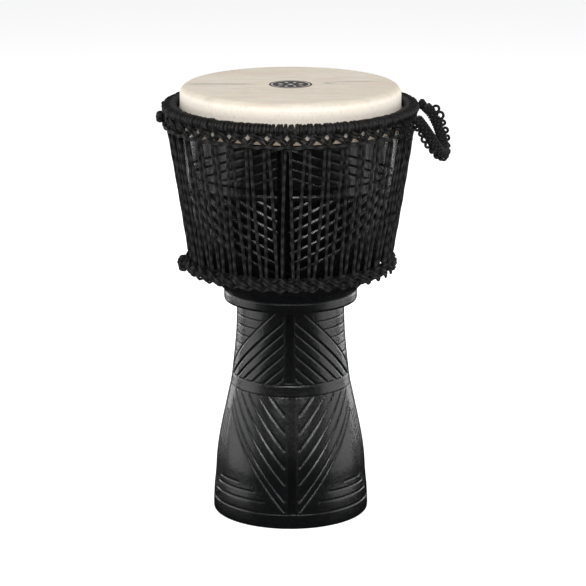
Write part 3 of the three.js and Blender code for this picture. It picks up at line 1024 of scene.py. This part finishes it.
def build_knots(rope):
    """The turns that finish the crown rope and the knotted tail of the lacing, both on the -X side."""
    middle, half = node_middle("crown_knot")
    middle = middle + np.array((0.0014, 0, 0))
    t = np.linspace(0, FULL_TURN, 40, endpoint=False)
    surface = Surface()
    for level in (-0.45, 0.05, 0.55):
        size = math.sqrt(1 - level * level)
        x = half[0] * 0.85 * size * np.cos(t)
        y = (half[1] - 0.0030) * size * np.sin(t)
        path = middle + np.stack((x, y, half[2] * level + 0.0012 * np.sin(t)), axis=-1)
        surface.ropes(path[None], (0.0027, 0.0026), np.array((0, 0, 1.0)), 12, closed=True)
    surface.ball(middle + np.array((0.0060, -0.0010, 0.0175)), np.eye(3) * 0.0034, 4, 3, 200, 0.0016)
    surface.piece("crown_rope_knot", rope, "black_rope", "crown_knot")
    middle, half = node_middle("tail_knob")
    middle = middle + np.array((0.0028, 0, 0))
    axes = drum_axes(middle, half[0] + 0.0010, half[1] - 0.0010, half[2] - 0.0014)
    surface = Surface()
    surface.ball(middle, axes, 5, 4, 420, 0.0022)
    surface.ball(middle, axes * 0.55, 5, 3, 240, 0.0026)
    surface.piece("lacing_tail_knob", rope, "black_rope", "tail_knob")


# ---------------------------------------------------------------- carrying loop


def build_loop(sizes, rope, cord):
    """The hanging loop: a core rope wound with cord, and small eyes along its outer side."""
    path = smooth_curve(LOOP_ROUTE, 5)
    length_along = float(np.linalg.norm(np.diff(path, axis=0), axis=1).sum())
    reach = LOOP_DIAMETER / 2
    half_cord = sizes.loop_cord / 2
    core = Surface()
    core.free_rope(path, CORE_SHARE * reach, sides=16)
    loop = core.piece("carrying_loop_core", rope, "black_rope", "carrying_loop", body="loop")
    turns = length_along / (sizes.loop_cord * 1.15)
    winding = Surface()
    winding.free_rope(wound_round(path, reach - 0.75 * half_cord, turns), half_cord, sides=8)
    wraps = winding.piece("carrying_loop_winding", cord, "black_rope", body="loop")
    eyes = loop_eyes(path, reach, half_cord)
    picots = eyes.piece("carrying_loop_eyes", cord, "black_rope", body="loop")


def wound_round(path, reach, turns):
    """A cord wound round a line: one long spiral, kept square to the line."""
    steps = int(turns * 14)
    share = np.linspace(0, len(path) - 1, steps)
    whole = np.minimum(share.astype(int), len(path) - 2)
    part = (share - whole)[:, None]
    centre = path[whole] * (1 - part) + path[whole + 1] * part
    normals = carried_normals(path)
    normal = unit(normals[whole] * (1 - part) + normals[whole + 1] * part)
    tangent = unit(np.gradient(centre, axis=0))
    across = np.cross(tangent, normal)
    turn = np.linspace(0, FULL_TURN * turns, steps)[:, None]
    return centre + reach * (np.cos(turn) * normal + np.sin(turn) * across)


def loop_eyes(path, reach, half_cord):
    """Eyes of cord all along the loop's outer side: a few open, most drawn nearly shut."""
    surface = Surface()
    draw = np.random.default_rng(21)
    gone = np.concatenate(([0.0], np.cumsum(np.linalg.norm(np.diff(path, axis=0), axis=1))))
    down = unit(path[len(path) // 2] - (path[0] + path[-1]) / 2)
    aside = unit(np.cross(down, (0, 1, 0)))
    turn = np.linspace(0, FULL_TURN, 24, endpoint=False)[:, None]
    half_sizes = (half_cord * 1.12, half_cord * 1.2)
    for share, size in zip(np.linspace(0.065, 0.93, len(EYE_SIZES)), EYE_SIZES):
        place = share * gone[-1]
        centre = np.array([np.interp(place, gone, axis) for axis in path.T])
        ahead = np.array([np.interp(place + 0.002, gone, axis) for axis in path.T])
        along = unit(ahead - centre)
        away = math.cos(math.pi * share) * aside + 0.75 * math.sin(math.pi * share) * down
        away = unit(away - along * np.dot(away, along))
        tip = (draw.normal(0, 0.25), -1.0, 0.25 + draw.normal(0, 0.2))
        second = unit(np.cross(away, tip))
        size = size + draw.normal(0, 0.0001)
        middle = centre + away * (reach * 0.82 + size * 0.50)
        eye = middle + away * size * np.cos(turn) + second * size * np.sin(turn)
        eye = eye + np.cross(second, away) * 0.0009 * np.sin(2 * turn)
        surface.ring(eye, middle, half_sizes, sides=9)
    return surface


def build_hitches(cord):
    """The knots that hold the loop's two ends on the crown."""
    middle, half = node_middle("loop_hitch_rear")
    surface = Surface()
    surface.ball(middle, drum_axes(middle, *(half - 0.0015)), 4, 3, 260, HITCH_ROPE)
    start = np.array(LOOP_ROUTE[0]) + np.array((-0.0035, 0.0, 0.0))
    for share in (0.28, 0.50):
        lump = middle * (1 - share) + start * share
        surface.ball(lump, np.eye(3) * (0.0040, 0.0036, 0.0046), 4, 3, 220, 0.0019)
    surface.piece("loop_hitch_knot", cord, "black_rope", "loop_hitch_rear")
    middle, half = node_middle("loop_hitch_front")
    surface = Surface()
    for level, size in ((0.62, 0.95), (0.0, 1.05), (-0.60, 0.9)):
        centre = middle + np.array((0, 0, level * half[2]))
        axes = drum_axes(centre, half[0] * size - 0.0015, half[1] * size - 0.0015, half[2] * 0.36)
        surface.ball(centre, axes, 5, 3, 260, HITCH_ROPE)
    surface.piece("loop_hitch_tail", cord, "black_rope", "loop_hitch_front")


# ---------------------------------------------------------------- stage


def add_lamp(name, kind, place, target, power, **settings):
    """A lamp at a place, turned to face its target."""
    lamp = bpy.data.lights.new(name, kind)
    lamp.energy = power
    for setting, value in settings.items():
        setattr(lamp, setting, value)
    thing = placed(name, lamp)
    thing.location = place
    thing.rotation_euler = (Vector(target) - Vector(place)).to_track_quat("-Z", "Y").to_euler()


def build_camera():
    camera = bpy.data.cameras.new("camera")
    camera.sensor_width = 36.0
    camera.lens = CAMERA_LENS
    view = placed("camera", camera)
    view.location = CAMERA_PLACE
    view.rotation_euler = (math.pi / 2 - CAMERA_TILT, 0, 0)
    bpy.context.scene.camera = view


def build_floor():
    half = FLOOR_HALF
    corners = [(-half, -half, 0), (half, -half, 0), (half, half, 0), (-half, half, 0)]
    mesh = bpy.data.meshes.new("floor")
    mesh.from_pydata(corners, [], [(0, 1, 2, 3)])
    mesh.materials.append(pale_floor())
    floor = placed("floor", mesh)
    floor.visible_glossy = False


def build_world():
    """White where the camera looks past the floor, and a dim room for everything else."""
    world = bpy.data.worlds.new("studio")
    bpy.context.scene.world = world
    world.use_nodes = True
    nodes = world.node_tree.nodes
    links = world.node_tree.links
    room = nodes["Background"]
    backdrop = nodes.new("ShaderNodeBackground")
    for background in (room, backdrop):
        background.inputs["Color"].default_value = (1, 1, 1, 1)
    room.inputs["Strength"].default_value = ROOM_LIGHT
    seen = nodes.new("ShaderNodeLightPath")
    either = nodes.new("ShaderNodeMixShader")
    links.new(seen.outputs["Is Camera Ray"], either.inputs[0])
    links.new(room.outputs[0], either.inputs[1])
    links.new(backdrop.outputs[0], either.inputs[2])
    links.new(either.outputs[0], nodes["World Output"].inputs["Surface"])


def build_lamps():
    for name, place, target, power, wide, tall in SOFTBOXES:
        add_lamp(name, "AREA", place, target, power, shape="RECTANGLE", size=wide, size_y=tall)
    add_lamp("overhead", "SUN", (0, 0, 3), (0, 0.25, 0), 1.05, angle=math.radians(50))


# ---------------------------------------------------------------- operators


def shared_rope(context, name, lightness=1.0, *braid):
    """The rope finish of that name, made the first time it is asked for."""
    colour = shade(tuple(context.scene.drum_colours.rope), lightness)
    return bpy.data.materials.get(name) or braided_rope(name, colour, *braid)


def black_rope(context):
    return shared_rope(context, "braided_black_rope")


def fine_cord(context):
    return shared_rope(context, "fine_black_cord", 0.9, 3.0, 0.9)


class DRUM_OT_stage(bpy.types.Operator):
    """Add the camera, lamps, pale floor and studio backdrop"""

    bl_idname = "drum.stage"
    bl_label = "Stage"

    def execute(self, context):
        build_camera()
        build_floor()
        build_world()
        build_lamps()
        context.scene.view_settings.view_transform = "Standard"
        return {"FINISHED"}


class DRUM_OT_carrying_loop(bpy.types.Operator):
    """Build the carrying loop with its winding, eyes and hitches"""

    bl_idname = "drum.carrying_loop"
    bl_label = "Carrying Loop"

    def execute(self, context):
        build_loop(context.scene.drum_sizes, black_rope(context), fine_cord(context))
        build_hitches(fine_cord(context))
        return {"FINISHED"}


class DRUM_OT_shell(bpy.types.Operator):
    """Carve the shell"""

    bl_idname = "drum.shell"
    bl_label = "Carved Shell"

    def execute(self, context):
        build_shell(context.scene.drum_sizes, lacquered_wood(context.scene.drum_colours))
        return {"FINISHED"}


class DRUM_OT_skin(bpy.types.Operator):
    """Stretch the goat skin over the rim and print its mark"""

    bl_idname = "drum.skin"
    bl_label = "Skin Head"

    def execute(self, context):
        colours = context.scene.drum_colours
        head = build_skin(goat_skin(colours))
        dark = printed_disc("mark_ink", tuple(colours.mark))
        pale = printed_disc("mark_pale", shade(tuple(colours.skin), 0.8))
        mark = build_mark(dark, pale)
        return {"FINISHED"}


class DRUM_OT_hoops(bpy.types.Operator):
    """Give the three steel hoops their finish"""

    bl_idname = "drum.hoops"
    bl_label = "Steel Hoops"

    def execute(self, context):
        steel = hoop_steel(context.scene.drum_colours)
        for name in ("flesh_hoop", "crown_hoop", "bottom_hoop"):
            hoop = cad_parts[name]
            hoop.data.materials.clear()
            hoop.data.materials.append(steel)
        return {"FINISHED"}


class DRUM_OT_crown(bpy.types.Operator):
    """Wind the crown hoop and lay the cradle and hem ropes"""

    bl_idname = "drum.crown"
    bl_label = "Crown Ropes"

    def execute(self, context):
        build_crown(context.scene.drum_sizes, black_rope(context))
        return {"FINISHED"}


class DRUM_OT_lacing(bpy.types.Operator):
    """Lace the drum and tie one pair of runs"""

    bl_idname = "drum.lacing"
    bl_label = "Lacing"

    def execute(self, context):
        build_lacing(context.scene.drum_sizes, black_rope(context))
        build_tie(fine_cord(context))
        return {"FINISHED"}


class DRUM_OT_bottom_ring(bpy.types.Operator):
    """Wind the bottom hoop and weave the ropes above it"""

    bl_idname = "drum.bottom_ring"
    bl_label = "Bottom Ring"

    def execute(self, context):
        build_bottom(context.scene.drum_sizes, black_rope(context))
        return {"FINISHED"}


class DRUM_OT_knots(bpy.types.Operator):
    """Tie the crown knot and the knob on the lacing's tail"""

    bl_idname = "drum.knots"
    bl_label = "Knots"

    def execute(self, context):
        build_knots(black_rope(context))
        return {"FINISHED"}


class DRUM_PT_pieces(bpy.types.Panel):
    """The drum's pieces and settings"""

    bl_idname = "DRUM_PT_pieces"
    bl_label = "Drum"
    bl_space_type = "VIEW_3D"
    bl_region_type = "UI"
    bl_category = "Drum"

    def draw(self, context):
        for operator in OPERATORS:
            self.layout.operator(operator.bl_idname)
        for settings in (context.scene.drum_sizes, context.scene.drum_colours):
            for name in settings.__annotations__:
                self.layout.prop(settings, name)


OPERATORS = (
    DRUM_OT_stage,
    DRUM_OT_carrying_loop,
    DRUM_OT_shell,
    DRUM_OT_skin,
    DRUM_OT_hoops,
    DRUM_OT_crown,
    DRUM_OT_lacing,
    DRUM_OT_bottom_ring,
    DRUM_OT_knots,
)
CLASSES = (DrumSizes, DrumColours, *OPERATORS, DRUM_PT_pieces)


def register():
    for made in CLASSES:
        bpy.utils.register_class(made)
    bpy.types.Scene.drum_sizes = PointerProperty(type=DrumSizes)
    bpy.types.Scene.drum_colours = PointerProperty(type=DrumColours)


def unregister():
    del bpy.types.Scene.drum_colours
    del bpy.types.Scene.drum_sizes
    for made in reversed(CLASSES):
        bpy.utils.unregister_class(made)


def main():
    register()
    bpy.ops.drum.stage()
    bpy.ops.drum.carrying_loop()
    bpy.ops.drum.shell()
    bpy.ops.drum.skin()
    bpy.ops.drum.hoops()
    bpy.ops.drum.crown()
    bpy.ops.drum.lacing()
    bpy.ops.drum.bottom_ring()
    bpy.ops.drum.knots()


if __name__ == "__main__":
    main()
